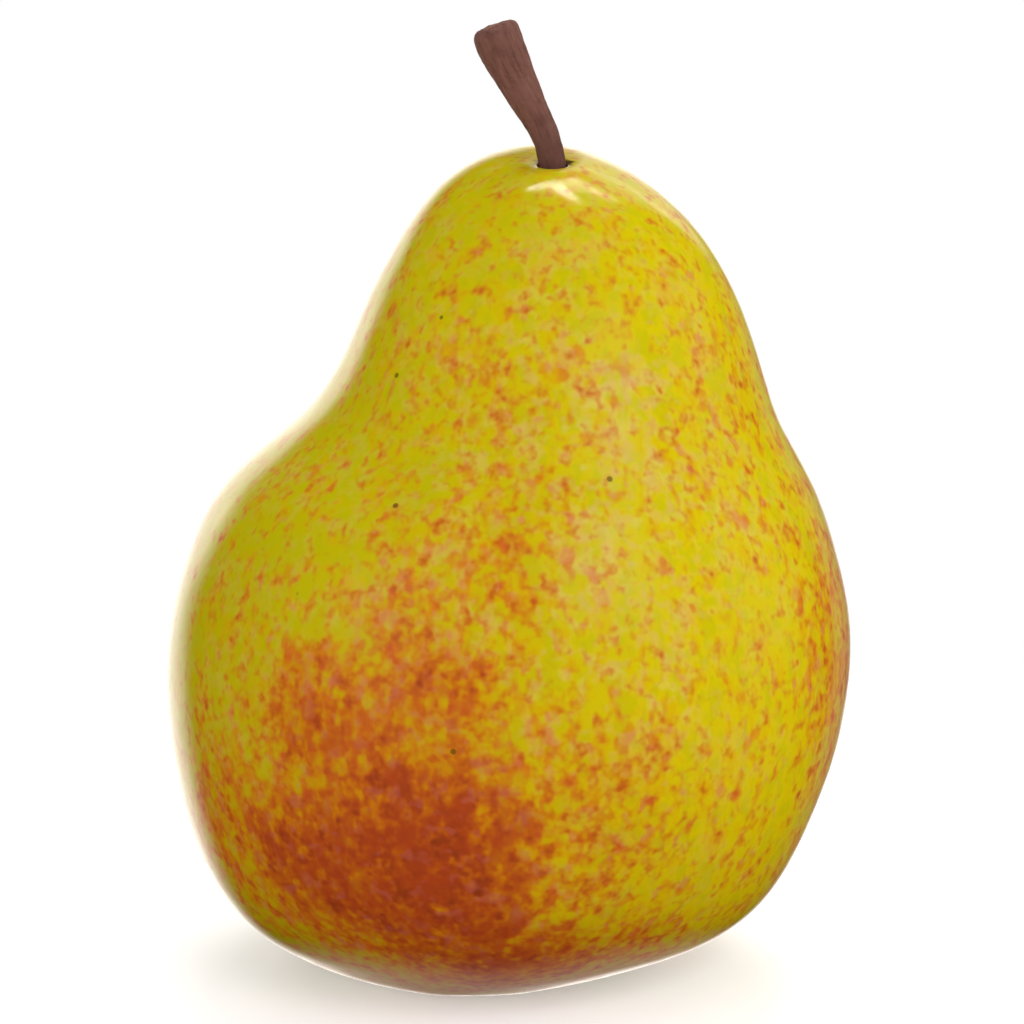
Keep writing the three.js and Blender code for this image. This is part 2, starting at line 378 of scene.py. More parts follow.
def setStudio():
    scene = bpy.context.scene
    height = stemHigh.z
    aim = Vector((studio["aimRight"], 0, studio["aimHeight"] * height))
    tilt = radians(studio["elevation"])
    camera = bpy.data.objects.new("camera", bpy.data.cameras.new("camera"))
    scene.collection.objects.link(camera)
    camera.data.lens = studio["lens"]
    camera.data.clip_start = 0.01
    camera.data.dof.use_dof = False
    faceTowards(camera, aim + studio["distance"] * Vector((0, -cos(tilt), sin(tilt))), aim)
    scene.camera = camera

    world = bpy.data.worlds.new("room")
    world.use_nodes = True
    background = world.node_tree.nodes["Background"]
    background.inputs["Color"].default_value = (*studio["paper"], 1)
    background.inputs["Strength"].default_value = studio["roomLight"]
    world.cycles_visibility.glossy = False
    scene.world = world
    scene.view_settings.view_transform = "Standard"

    for name, lamp in lamps.items():
        data = bpy.data.lights.new(name, "AREA")
        data.shape = "RECTANGLE"
        data.size, data.size_y = lamp["size"]
        data.energy = lamp["power"]
        made = bpy.data.objects.new(name, data)
        scene.collection.objects.link(made)
        faceTowards(made, lamp["place"], aim)
        made.visible_glossy = False

    for name, card in cards.items():
        made = stageObject(name, *rectangle(*card["size"]), cardMaterial(name, card))
        faceTowards(made, card["place"], aim)
        made.rotation_euler.rotate_axis("Z", radians(card["roll"]))
        made.visible_camera = False
        made.visible_diffuse = False
        made.visible_shadow = False

    # the floor for the camera, and two discs just under it: one lights the fruit, one gleams in it
    floor = stageObject("floor", *disc(studio["floorRadius"]), floorMaterial())
    floor.visible_diffuse = floor.visible_glossy = False
    bounce = stageObject("bounceCard", *disc(studio["floorRadius"]), bounceMaterial())
    bounce.location.z = -studio["bounceDrop"]
    bounce.visible_camera = bounce.visible_glossy = False
    glint = stageObject("tableGlint", *disc(studio["glintReach"]), glintMaterial())
    glint.location.z = -studio["glintDrop"]
    glint.visible_camera = glint.visible_diffuse = glint.visible_shadow = False

    # a ball of white paper round the whole set, seen by the camera alone
    sides = studio["drumSides"]
    bpy.ops.mesh.primitive_uv_sphere_add(segments=sides, ring_count=sides // 2, radius=studio["drumRadius"])
    drum = bpy.context.object
    drum.name = "paperDrum"
    drum.data.materials.append(glowMaterial("paperWhite", studio["paper"]))
    drum.visible_diffuse = drum.visible_glossy = drum.visible_shadow = drum.visible_transmission = False


setStudio()
print("studio ready")


# The fruit

skin = {
    "width": bodyHigh.x - bodyLow.x,
    "depth": bodyHigh.y - bodyLow.y,
    "height": bodyHigh.z,
    "sides": 36,
    "levels": 3,
    "lobes": 5,  # shallow swellings of the base that die away up the fruit
    "lobeSwell": 0.026,
    "lobeTurn": radians(20),
    "lobeTop": 0.3,
    "crownTilt": 0.1,  # the crown leans to the front
    "crownFrom": 0.78,
    "ripple": 0.1 * mm,  # soft unevenness of the surface
    "rippleScale": 75.0,
}
# Share of the height, then the skin's reach to the left, right, front and back as a share of the
# width or depth. From the eye underneath, over the base and up to the socket of the stem.
skinRings = [
    (0.090, -0.052, -0.052, 0.000, 0.000),
    (0.089, -0.070, -0.034, -0.019, 0.019),
    (0.083, -0.080, -0.024, -0.029, 0.029),
    (0.068, -0.083, -0.021, -0.033, 0.033),
    (0.062, -0.115, 0.010, -0.065, 0.065),
    (0.018, -0.175, 0.065, -0.125, 0.125),
    (-0.018, -0.250, 0.130, -0.180, 0.185),
    (0.024, -0.335, 0.260, -0.280, 0.285),
    (0.072, -0.405, 0.370, -0.390, 0.375),
    (0.160, -0.465, 0.435, -0.475, 0.455),
    (0.285, -0.500, 0.495, -0.515, 0.500),
    (0.415, -0.505, 0.510, -0.520, 0.505),
    (0.530, -0.467, 0.480, -0.490, 0.470),
    (0.615, -0.410, 0.440, -0.435, 0.420),
    (0.680, -0.293, 0.390, -0.370, 0.355),
    (0.760, -0.235, 0.365, -0.320, 0.310),
    (0.840, -0.200, 0.330, -0.275, 0.270),
    (0.910, -0.152, 0.279, -0.232, 0.225),
    (0.966, -0.102, 0.208, -0.178, 0.175),
    (0.995, -0.040, 0.135, -0.120, 0.125),
    (1.003, 0.010, 0.112, -0.095, 0.055),
    (1.002, 0.0430, 0.0850, -0.0700, -0.0260),
    (1.000, 0.0435, 0.0845, -0.0695, -0.0265),
    (0.942, 0.0430, 0.0850, -0.0700, -0.0260),
    (0.938, 0.064, 0.064, -0.048, -0.048),
]


def fruitTree():
    tree, given, output = newTree("growFruit", {
        "Sides": "Int", "Levels": "Int", "Width": "Float", "Depth": "Float", "Height": "Float",
        "Lobes": "Float", "Lobe Swell": "Float", "Lobe Turn": "Float", "Lobe Top": "Float",
        "Crown Tilt": "Float", "Crown From": "Float",
        "Ripple": "Float", "Ripple Scale": "Float", "Material": "Material"})
    grid, _, turn, ringValue = ringGrid(tree, given)
    angle = maths(tree, "MULTIPLY", turn, 2 * pi)
    across, deep = maths(tree, "COSINE", angle), maths(tree, "SINE", angle)
    up = ringValue("up")
    lobeAngle = maths(tree, "MULTIPLY", maths(tree, "ADD", angle, given["Lobe Turn"]), given["Lobes"])
    lobeStrength = maths(tree, "MULTIPLY", given["Lobe Swell"], remap(tree, up, given["Lobe Top"], 0.0))
    swell = maths(tree, "MULTIPLY_ADD", maths(tree, "COSINE", lobeAngle), lobeStrength, 1.0)

    # one side's reach and its opposite's make an oval, off centre
    def oval(low, high, wave):
        a, b = ringValue(low), ringValue(high)
        middle = maths(tree, "MULTIPLY", maths(tree, "ADD", a, b), 0.5)
        half = maths(tree, "MULTIPLY", maths(tree, "SUBTRACT", b, a), 0.5)
        return maths(tree, "MULTIPLY_ADD", maths(tree, "MULTIPLY", half, swell), wave, middle)

    depth = oval("front", "back", deep)
    tilt = maths(tree, "MULTIPLY", given["Crown Tilt"], remap(tree, up, given["Crown From"], 1.0))
    shape = join(tree, oval("left", "right", across), depth, maths(tree, "MULTIPLY_ADD", depth, tilt, up))
    cage = placed(tree, grid, shape)
    cage = store(tree, cage, "OFBake", join(tree, turn, ringValue("bakeRow")), "FLOAT2", "CORNER")
    fine = closedSkin(tree, cage, given["Levels"])

    # stretched to the fruit's own size
    extent = addNode(tree, "GeometryNodeBoundBox", {"Geometry": fine}).outputs
    lowX, lowY, _ = split(tree, extent["Min"])
    highX, highY, highZ = split(tree, extent["Max"])
    x, y, z = split(tree, addNode(tree, "GeometryNodeInputPosition").outputs[0])

    def stretched(value, low, high, size):
        middle = maths(tree, "MULTIPLY", maths(tree, "ADD", low, high), 0.5)
        reach = maths(tree, "SUBTRACT", high, low)
        share = maths(tree, "DIVIDE", maths(tree, "SUBTRACT", value, middle), reach)
        return maths(tree, "MULTIPLY", share, size)

    tall = maths(tree, "MULTIPLY", maths(tree, "DIVIDE", z, highZ), given["Height"])
    fine = placed(tree, fine, join(tree, stretched(x, lowX, highX, given["Width"]),
                                   stretched(y, lowY, highY, given["Depth"]), tall))

    # soft hollows and swellings, then the base pressed flat where it stands
    place = addNode(tree, "GeometryNodeInputPosition").outputs[0]
    broad = noise(tree, place, given["Ripple Scale"], 1.5).outputs[0]
    ripple = maths(tree, "MULTIPLY", given["Ripple"], noiseSwing)
    fine = pushOut(tree, fine, maths(tree, "MULTIPLY", maths(tree, "SUBTRACT", broad, 0.5), ripple))
    x, y, z = split(tree, addNode(tree, "GeometryNodeInputPosition").outputs[0])
    fine = placed(tree, fine, join(tree, x, y, maths(tree, "MAXIMUM", z, 0.0)))
    finishTree(tree, output, fine, given["Material"])
    return tree


# A closed skin through oval rings, used for the stem and for the dried leaves of the calyx.
# Each ring has a middle, half a width and half a thickness, and a lean about the y axis.
def loftTree():
    tree, given, output = newTree("growLoft", {
        "Sides": "Int", "Levels": "Int", "Copies": "Int", "Centre": "Vector", "Ridge": "Float",
        "Ridge Size": "Float", "Ridge Stretch": "Float", "Seed": "Float", "Material": "Material"})
    grid, part, turn, ringValue = ringGrid(tree, given)
    angle = maths(tree, "MULTIPLY", turn, 2 * pi)
    across, deep = maths(tree, "COSINE", angle), maths(tree, "SINE", angle)
    thick = maths(tree, "MULTIPLY", ringValue("halfThick"), across)
    wide = maths(tree, "MULTIPLY", ringValue("halfWide"), deep)
    lean = ringValue("lean")
    shape = join(tree, maths(tree, "MULTIPLY_ADD", thick, maths(tree, "COSINE", lean), ringValue("out")),
                 maths(tree, "ADD", wide, ringValue("aside")),
                 maths(tree, "MULTIPLY_ADD", thick, maths(tree, "SINE", lean), ringValue("rise")))
    cage = placed(tree, grid, shape)
    stretch = maths(tree, "MULTIPLY", ringValue("walked"), given["Ridge Stretch"])
    grain = join(tree, thick, wide, stretch)
    cage = store(tree, cage, "grain", grain, "FLOAT_VECTOR")
    cage = store(tree, cage, "along", part)
    fine = closedSkin(tree, cage, given["Levels"])

    # copies round the centre
    line = addNode(tree, "GeometryNodePoints", {"Count": given["Copies"], "Position": given["Centre"]})
    number = addNode(tree, "GeometryNodeInputIndex").outputs[0]
    heading = maths(tree, "MULTIPLY", number, maths(tree, "DIVIDE", 2 * pi, given["Copies"]))
    copies = addNode(tree, "GeometryNodeInstanceOnPoints", {
        "Points": line.outputs[0], "Instance": fine, "Rotation": join(tree, 0.0, 0.0, heading)})
    real = addNode(tree, "GeometryNodeRealizeInstances", {"Geometry": copies.outputs[0]}).outputs[0]

    # long ridges and wrinkles, other ones on each copy
    shift = scaled(tree, addNode(tree, "GeometryNodeInputPosition").outputs[0], copyShift)
    where = vectorMaths(tree, "ADD", named(tree, "grain", "FLOAT_VECTOR"), shift)
    size = maths(tree, "DIVIDE", 1.0, given["Ridge Size"])
    inputs = {"Vector": where, "W": given["Seed"], "Scale": size, "Detail": 3.0}
    ridge = addNode(tree, "ShaderNodeTexNoise", inputs, noise_dimensions="4D").outputs[0]
    height = maths(tree, "MULTIPLY", maths(tree, "SUBTRACT", ridge, 0.5), given["Ridge"])
    finishTree(tree, output, pushOut(tree, real, height), given["Material"])
    return tree


# Fills in each ring's lean, at right angles to the middle line, and the way walked to it
def loftRows(stations):
    rows = []
    walked = 0.0
    for i, (out, aside, rise, wide, thick) in enumerate(stations):
        before, after = stations[max(i - 1, 0)], stations[min(i + 1, len(stations) - 1)]
        if i:
            walked += hypot(out - stations[i - 1][0], rise - stations[i - 1][2]) * mm
        rows.append({"out": out * mm, "aside": aside * mm, "rise": rise * mm, "halfWide": wide * mm,
                     "halfThick": thick * mm, "walked": walked,
                     "lean": atan2(before[0] - after[0], after[2] - before[2])})
    return rows


# Ring table, with each ring's share of the way walked along the skin as its row on the bake
def ringRows():
    rows = []
    walked = 0.0
    before = None
    for up, left, right, front, back in skinRings:
        here = (up * skin["height"], ((right - left) * skin["width"] + (back - front) * skin["depth"]) / 4)
        if before:
            walked += hypot(here[0] - before[0], here[1] - before[1])
        rows.append({"up": up, "left": left, "right": right, "front": front, "back": back,
                     "bakeRow": walked})
        before = here
    for row in rows:
        row["bakeRow"] /= walked
    return rows


def makeFruit(material):
    values = {"Sides": skin["sides"], "Levels": skin["levels"],
              "Width": skin["width"], "Depth": skin["depth"], "Height": skin["height"],
              "Lobes": skin["lobes"], "Lobe Swell": skin["lobeSwell"],
              "Lobe Turn": skin["lobeTurn"], "Lobe Top": skin["lobeTop"],
              "Crown Tilt": skin["crownTilt"], "Crown From": skin["crownFrom"],
              "Ripple": skin["ripple"], "Ripple Scale": skin["rippleScale"], "Material": material}
    fruit = growMesh(pointsObject("pear_fruit", ringRows()), fruitTree(), values)
    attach(fruit, "root")
    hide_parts("pear_body")
    return fruit


skinPaint = {
    "greenSide": paint(190, 178, 2),
    "yellowSide": paint(213, 194, 4),
    "leafy": paint(182, 180, 6),
    "warm": paint(216, 158, 8),
    "cream": paint(218, 200, 96),
    "pinkCream": paint(216, 164, 108),
    "fleckOrange": paint(214, 118, 26),
    "fleckRed": paint(206, 84, 40),
    "fleckPink": paint(214, 122, 78),
    "blushBase": paint(206, 130, 16),
    "blushOrange": paint(202, 108, 16),
    "blushRed": paint(174, 68, 28),
    "blushBrown": paint(138, 54, 24),
    "blushPink": paint(184, 94, 80),
    "darkDot": paint(104, 72, 18),
    # painted shade in the pit of the stem
    "socketShade": paint(84, 62, 26),
    "greenFrom": -26 * mm,  # the green side turns yellow between these two places
    "yellowFrom": 22 * mm,
    "sideSway": 40 * mm,  # how far the border between them wanders
    "stretch": 0.62,  # the lower, the longer the flecks run up the fruit
    "fineMottle": 0.6,
    "creamLevel": 0.85,  # level of the mealy noise above which cream shows
    "creamCluster": 0.5,  # how much lower that level lies in clusters
    "creamSoftness": 0.13,
    "creamAmount": 0.5,
    "pinkAmount": 0.4,
    "creamLeast": 0.25,  # share of the cream outside the pale places
    "blushMottle": 0.7,  # how much each noise breaks up the blush
    "blushMealy": 1.1,
    "blushFine": 1.15,
    "fleckRarity": 0.672,  # level of the speckle noise above which a fleck shows
    "fleckSoftness": 0.11,
    "fleckAmount": 0.58,
    "fleckCluster": 0.25,  # how much commoner flecks are in clusters
    "dashRarity": 0.04,  # how much rarer the large flecks are
    "calm": 0.07,  # how much rarer flecks are in the calm places
    "blushGain": 0.19,
    "speckLevel": 0.64,  # pinkish specks in the blush
    "speckSoftness": 0.08,
    "speckAmount": 0.42,
    "dotSpacing": 7 * mm,
    "dotRadius": 0.3 * mm,
    "dotShare": 0.6,
    "dotEdge": 0.012,  # in dot spacings
    "dotAmount": 0.8,
    "roughness": (0.1, 0.17),
    "bump": 0.1,
    "bumpDepth": 0.1 * mm,
    # painted shade in the stem's pit: where it begins, where it is full, and how it stretches and wanders
    "socketReach": 2.3 * mm,  # dark from here in to the full dark
    "socketFull": 1.5 * mm,
    "socketStretch": 0.35,
    "socketSway": 2 * mm,
}
# Noise in the skin: swellings to the metre, detail, and an offset that keeps the fields apart
skinNoise = {
    "broad": (45, 2.0, 0.31),
    "cluster": (130, 2.0, 0.77),
    "hue": (420, 2.0, 0.19),
    "hueFine": (850, 1.0, 0.49),
    "mealy": (560, 1.5, 0.63),
    "pinky": (640, 1.0, 1.13),
    "speckle": (720, 1.0, 0.52),
    "dash": (430, 1.5, 1.52),
    "tone": (480, 1.0, 1.38),
    "fine": (950, 1.0, 2.7),
    "relief": (900, 2.0, 2.1),
}
# Level where a colour begins to show, level where it is full, and its strength there
skinLayers = {
    "warm": (0.48, 0.7, 0.4),
    "leafy": (0.52, 0.32, 0.4),
    "blushBase": (0.06, 0.85, 0.7),
    "blushOrange": (0.05, 0.7, 0.88),
    "blushRed": (0.42, 1.02, 0.85),
    "blushBrown": (0.75, 1.35, 0.85),
}
# The patches below melt into each other, and their edges wander
patchEdges = {
    "warpScale": 90.0,
    "warpReach": 16 * mm,
    "begins": 1.6,  # in reaches from the middle
    "full": 0.05,
    "melt": 0.15,
}
# Where the blush lies: its middle and its reach in mm, and how strong it is there
blushPatches = [
    {"at": (-8, -32, 19), "reach": (14, 16, 17), "strength": 1.0},
    {"at": (-19, -28, 18), "reach": (11, 15, 16), "strength": 0.85},
    {"at": (-27, -20, 20), "reach": (9, 14, 13), "strength": 0.5},
    {"at": (-18, -28, 32), "reach": (10, 12, 11), "strength": 0.62},
    {"at": (-9, -34, 36), "reach": (11, 14, 13), "strength": 0.55},
    {"at": (-9, -33, 46), "reach": (7, 14, 10), "strength": 0.42},
    {"at": (0, -33, 51), "reach": (6, 14, 13), "strength": 0.34},
    {"at": (8, -32, 24), "reach": (11, 12, 14), "strength": 0.34},
    {"at": (-2, -24, 8), "reach": (15, 14, 9), "strength": 0.8},
    {"at": (10, -24, 7), "reach": (13, 12, 8), "strength": 0.42},
    {"at": (34, -6, 34), "reach": (7, 22, 26), "strength": 0.36},
    {"at": (22, -12, 62), "reach": (8, 14, 14), "strength": 0.2},
    {"at": (-2, -24, 66), "reach": (12, 14, 12), "strength": 0.22},
    {"at": (6, 33, 30), "reach": (20, 18, 22), "strength": 0.35},
]


# Places with few flecks
calmPatches = [
    {"at": (6, -8, 82), "reach": (18, 18, 13), "strength": 1.0},
    {"at": (-30, -14, 38), "reach": (9, 16, 17), "strength": 0.8},
    {"at": (16, -30, 43), "reach": (12, 14, 12), "strength": 0.6},
    {"at": (-12, 30, 56), "reach": (16, 16, 16), "strength": 0.7},
]


# Places with pale, creamy mottling, which on the front and the crown is a painted sheen
paleSheenPatches = [
    {"at": (10, -26, 62), "reach": (18, 18, 20), "strength": 1.0},
    {"at": (6, -34, 42), "reach": (22, 14, 16), "strength": 0.9},
    {"at": (-6, 24, 46), "reach": (20, 16, 22), "strength": 0.8},
    {"at": (8, 4, 86), "reach": (12, 12, 6), "strength": 0.6},
]


def patchMask(tree, place, patches):
    warp = noise(tree, place, patchEdges["warpScale"], 3.0, 0.6).outputs["Color"]
    shift = scaled(tree, vectorMaths(tree, "SUBTRACT", warp, (0.5, 0.5, 0.5)), patchEdges["warpReach"])
    wandering = vectorMaths(tree, "ADD", place, shift)
    total = None
    for patch in patches:
        middle = tuple(value * mm for value in patch["at"])
        spread = tuple(1 / (value * mm) for value in patch["reach"])
        offset = vectorMaths(tree, "SUBTRACT", wandering, middle)
        away = vectorMaths(tree, "LENGTH", vectorMaths(tree, "MULTIPLY", offset, spread))
        here = remap(tree, away, patchEdges["begins"], patchEdges["full"], 0.0, patch["strength"])
        total = here if total is None else maths(tree, "SMOOTH_MAX", total, here, patchEdges["melt"])
    return total


def skinMaterial():
    material, tree, shader = newMaterial("pearSkin")
    p = skinPaint
    place = addNode(tree, "ShaderNodeTexCoord").outputs["Object"]
    streak = vectorMaths(tree, "MULTIPLY", place, (1.0, 1.0, p["stretch"]))
    x, _, _ = split(tree, place)

    def field(where, name):
        scale, detail, offset = skinNoise[name]
        moved = vectorMaths(tree, "ADD", where, (offset, offset * 0.7, offset * 1.3))
        return noise(tree, moved, scale, detail, 0.55).outputs[0]

    def over(value, level, softness, amount):
        lowest = maths(tree, "SUBTRACT", level, softness)
        return remap(tree, value, lowest, maths(tree, "ADD", level, softness), 0.0, amount)

    # adds to a base what a noise strays from its middle, times an amount
    def stray(value, amount, base):
        return maths(tree, "MULTIPLY_ADD", maths(tree, "SUBTRACT", value, 0.5), amount, base)

    broad, cluster, mealy, pinky, tone, fine, relief = [
        field(place, name) for name in ("broad", "cluster", "mealy", "pinky", "tone", "fine", "relief")]
    hue, hueFine, speckle, dash = [field(streak, name) for name in ("hue", "hueFine", "speckle", "dash")]

    # green to yellow, with warm, leafy, creamy and pinkish mottling; in the pale patches the creamy and
    # pinkish mottling is a painted sheen
    sway = maths(tree, "MULTIPLY_ADD", broad, p["sideSway"], maths(tree, "SUBTRACT", x, p["sideSway"] / 2))
    side = remap(tree, sway, p["greenFrom"], p["yellowFrom"])
    blush = patchMask(tree, place, blushPatches)
    calm = patchMask(tree, place, calmPatches)
    mottle = stray(hueFine, p["fineMottle"], hue)
    colour = blend(tree, side, p["greenSide"], p["yellowSide"])
    for name in ("warm", "leafy"):
        colour = tinted(tree, colour, mottle, skinLayers[name], p[name])
    creamLevel = maths(tree, "MULTIPLY_ADD", cluster, -p["creamCluster"], p["creamLevel"])
    # painted sheen: cream and pinkish cream thicken in the pale sheen patches
    pale = remap(tree, patchMask(tree, place, paleSheenPatches), 0.0, 1.0, p["creamLeast"], 1.0)
    for value, amount, name in ((mealy, p["creamAmount"], "cream"), (pinky, p["pinkAmount"], "pinkCream")):
        cover = maths(tree, "MULTIPLY", over(value, creamLevel, p["creamSoftness"], amount), pale)
        colour = blend(tree, cover, colour, p[name])

    # blush: orange where it is faint, then red, then brown at its heart
    colour = tinted(tree, colour, blush, skinLayers["blushBase"], p["blushBase"])
    patchy = stray(mottle, p["blushMottle"], blush)
    patchy = stray(mealy, p["blushMealy"], patchy)
    patchy = stray(fine, p["blushFine"], patchy)
    for name in ("blushOrange", "blushRed", "blushBrown"):
        colour = tinted(tree, colour, patchy, skinLayers[name], p[name])

    # flecks: thick where the blush spreads, sparse elsewhere
    ease = stray(cluster, p["fleckCluster"], maths(tree, "MULTIPLY", blush, p["blushGain"]))
    rarity = maths(tree, "MULTIPLY_ADD", calm, p["calm"], p["fleckRarity"])
    level = maths(tree, "SUBTRACT", rarity, ease)
    fleckColour = blend(tree, remap(tree, tone, 0.42, 0.58), p["fleckOrange"], p["fleckRed"])
    fleckColour = blend(tree, remap(tree, pinky, 0.5, 0.62), fleckColour, p["fleckPink"])
    fleckColour = blend(tree, remap(tree, blush, 0.3, 0.8), fleckColour, p["blushRed"])
    for value, rarer in ((speckle, level), (dash, maths(tree, "ADD", level, p["dashRarity"]))):
        colour = blend(tree, over(value, rarer, p["fleckSoftness"], p["fleckAmount"]), colour, fleckColour)
    speck = maths(tree, "MULTIPLY", over(pinky, p["speckLevel"], p["speckSoftness"], p["speckAmount"]),
                  remap(tree, blush, 0.2, 0.8))
    colour = blend(tree, speck, colour, p["blushPink"])

    # a few dark dots
    cells = addNode(tree, "ShaderNodeTexVoronoi", {"Vector": place, "Scale": 1 / p["dotSpacing"]})
    chosen = addNode(tree, "ShaderNodeSeparateColor", {0: cells.outputs["Color"]}).outputs[0]
    chosen = maths(tree, "LESS_THAN", chosen, p["dotShare"])
    size = maths(tree, "MULTIPLY", chosen, p["dotRadius"] / p["dotSpacing"])
    rim = maths(tree, "SUBTRACT", cells.outputs["Distance"], size)
    colour = tinted(tree, colour, rim, (p["dotEdge"], -p["dotEdge"], p["dotAmount"]), p["darkDot"])

    # painted shade: the skin darkens in the pit and round the lip where the stem goes in
    fromStem = vectorMaths(tree, "SUBTRACT", place, tuple(stemFoot))
    fromStem = vectorMaths(tree, "MULTIPLY", fromStem, (1.0, 1.0, p["socketStretch"]))
    near = stray(mealy, p["socketSway"], vectorMaths(tree, "LENGTH", fromStem))
    colour = tinted(tree, colour, near, (p["socketReach"], p["socketFull"], 1.0), p["socketShade"])
    gloss = remap(tree, mealy, 0.3, 0.7, *p["roughness"])
    finishSurface(tree, shader, colour, gloss, relief, p)
    return material


fruit = makeFruit(skinMaterial())
print("fruit grown:", len(fruit.data.polygons), "faces")


# The stem

stem = {
    "sides": 18,
    "levels": 3,
    "ridge": 0.5 * mm,
    "ridgeSize": 1.5 * mm,
    "ridgeStretch": 0.22,
    "bark": paint(118, 75, 64),
    "barkDark": paint(78, 46, 40),
    "barkLight": paint(142, 98, 84),
    "cutWood": paint(140, 98, 84),
    "lightFibre": (0.5, 0.72, 0.5),  # begins, is full, strength there
    "darkFibre": (0.47, 0.3, 0.5),
    "darkBlotch": (0.5, 0.68, 0.4),
    "darkFoot": (0.45, 0.2, 0.5),  # along the stem
    "cutEnd": (0.93, 0.97, 1.0),
    "fibreScale": (2600.0, 2600.0, 1300.0),
    "blotchScale": 420.0,
    "poreScale": 2400.0,
    "poreShare": 0.4,
    "roughness": (0.62, 0.85),
    "bump": 0.5,
    "bumpDepth": 0.2 * mm,
    "seed": 3.0,
}
# Middle of the stem right of, behind and above its mouth in the fruit, then half its thickness from
# front to back and from side to side, in mm
stemStations = [
    (0.1, 0.1, -4.5, 0.0, 0.0),
    (0.1, 0.1, -4.5, 0.8, 0.8),
    (0.1, 0.1, -4.3, 1.5, 1.5),
    (0.1, 0.0, -1.2, 1.45, 1.45),
    (-0.05, 0.1, 0.6, 1.5, 1.45),
    (-0.65, 0.4, 2.6, 1.5, 1.4),
    (-1.5, 0.7, 4.3, 1.5, 1.55),
    (-2.4, 0.95, 5.9, 1.7, 1.75),
    (-3.35, 1.25, 7.6, 1.9, 1.98),
    (-4.15, 1.5, 9.2, 2.1, 2.2),
    (-4.8, 1.7, 10.7, 2.2, 2.4),
    (-5.4, 1.9, 12.0, 2.3, 2.5),
    (-5.75, 2.0, 12.9, 2.4, 2.5),
    (-6.0, 2.1, 13.5, 2.2, 2.35),
    (-6.1, 2.1, 13.8, 1.75, 1.9),
    (-6.12, 2.1, 13.85, 0.9, 1.0),
    (-6.12, 2.1, 13.85, 0.0, 0.0),
]


def stemMaterial():
    material, tree, shader = newMaterial("stemBark")
    place = addNode(tree, "ShaderNodeTexCoord").outputs["Object"]
    grain = addNode(tree, "ShaderNodeAttribute", attribute_name="grain").outputs["Vector"]
    along = addNode(tree, "ShaderNodeAttribute", attribute_name="along").outputs["Fac"]
    drawn = vectorMaths(tree, "MULTIPLY", grain, stem["fibreScale"])
    fibre = noise(tree, drawn, 1.0, 4.0, 0.6).outputs[0]
    blotch = noise(tree, place, stem["blotchScale"], 3.0, 0.6).outputs[0]
    pore = noise(tree, place, stem["poreScale"]).outputs[0]
    colour = tinted(tree, stem["bark"], fibre, stem["lightFibre"], stem["barkLight"])
    for value, layer in ((fibre, "darkFibre"), (blotch, "darkBlotch"), (along, "darkFoot")):
        colour = tinted(tree, colour, value, stem[layer], stem["barkDark"])
    colour = tinted(tree, colour, along, stem["cutEnd"], stem["cutWood"])
    gloss = remap(tree, blotch, 0.3, 0.7, *stem["roughness"])
    height = maths(tree, "MULTIPLY_ADD", pore, stem["poreShare"], fibre)
    finishSurface(tree, shader, colour, gloss, height, stem)
    return material


def makeStem():
    values = {"Sides": stem["sides"], "Levels": stem["levels"], "Copies": 1, "Centre": stemFoot,
              "Ridge": stem["ridge"], "Ridge Size": stem["ridgeSize"],
              "Ridge Stretch": stem["ridgeStretch"], "Seed": stem["seed"], "Material": stemMaterial()}
    made = growMesh(pointsObject("pear_stem", loftRows(stemStations)), loftTree(), values)
    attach(made, "root")
    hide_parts("stem")
    return made


# The dried calyx underneath: five leaves round a tuft of stamens

calyx = {
    "leaves": 5,
    "sides": 10,
    "levels": 2,
    "wrinkle": 0.4 * mm,
    "wrinkleSize": 0.9 * mm,
    "wrinkleStretch": 0.6,
    "stamens": 34,
    "stamenSpread": 1.45 * mm,
    "stamenLength": 1.75 * mm,
    "stamenRadius": 0.09 * mm,
    "antherRadius": 0.2 * mm,
    "threadBend": (0.05, 0.0, -0.6),  # where a stamen bends and ends, in lengths
    "threadEnd": (0.4, 0.0, -1.0),
    "antherShape": (0.8, 1.3, 1.0),
    "headingSway": 0.7,  # radians, as are the leans
    "sideLean": (-0.25, 0.25),
    "outLean": (-0.3, 0.2),
    "lengthShare": (0.65, 1.0),
    "padRadius": 1.75 * mm,
    "padShape": (1.0, 1.0, 0.45),
    "lumpScale": 1500.0,
    "lumpHeight": 0.8 * mm,
    "lumpMiddle": 0.6,
    "leafSeed": 7.0,
    "seed": 4,
    "dry": paint(98, 68, 42),
    "dryDark": paint(46, 30, 20),
    "dryLight": paint(150, 116, 76),
    "darkBlotch": (0.45, 0.65, 1.0),  # begins, is full, strength there
    "lightCrumb": (0.52, 0.72, 1.0),
    "blotchScale": 500.0,
    "crumbScale": 2200.0,
    "roughness": (0.75, 0.95),
    "bump": 0.6,
    "bumpDepth": 0.2 * mm,
}
# Middle of a leaf outwards from the middle of the eye, aside of it and above it, then half its width
# and half its thickness, in mm
leafStations = [
    (1.5, 0.0, -0.2, 0.0, 0.0),
    (1.5, 0.0, -0.2, 0.7, 0.14),
    (2.1, 0.0, -0.55, 1.1, 0.2),
    (2.8, 0.05, -0.8, 1.35, 0.18),
    (3.5, 0.1, -1.1, 1.4, 0.15),
    (4.2, 0.1, -1.6, 1.2, 0.13),
    (4.8, 0.05, -2.2, 0.9, 0.12),
    (5.2, -0.05, -2.75, 0.6, 0.11),
    (5.45, -0.15, -3.3, 0.35, 0.1),
    (5.4, -0.2, -3.75, 0.16, 0.07),
    (5.15, -0.25, -4.05, 0.05, 0.04),
    (5.15, -0.25, -4.05, 0.0, 0.0),
]


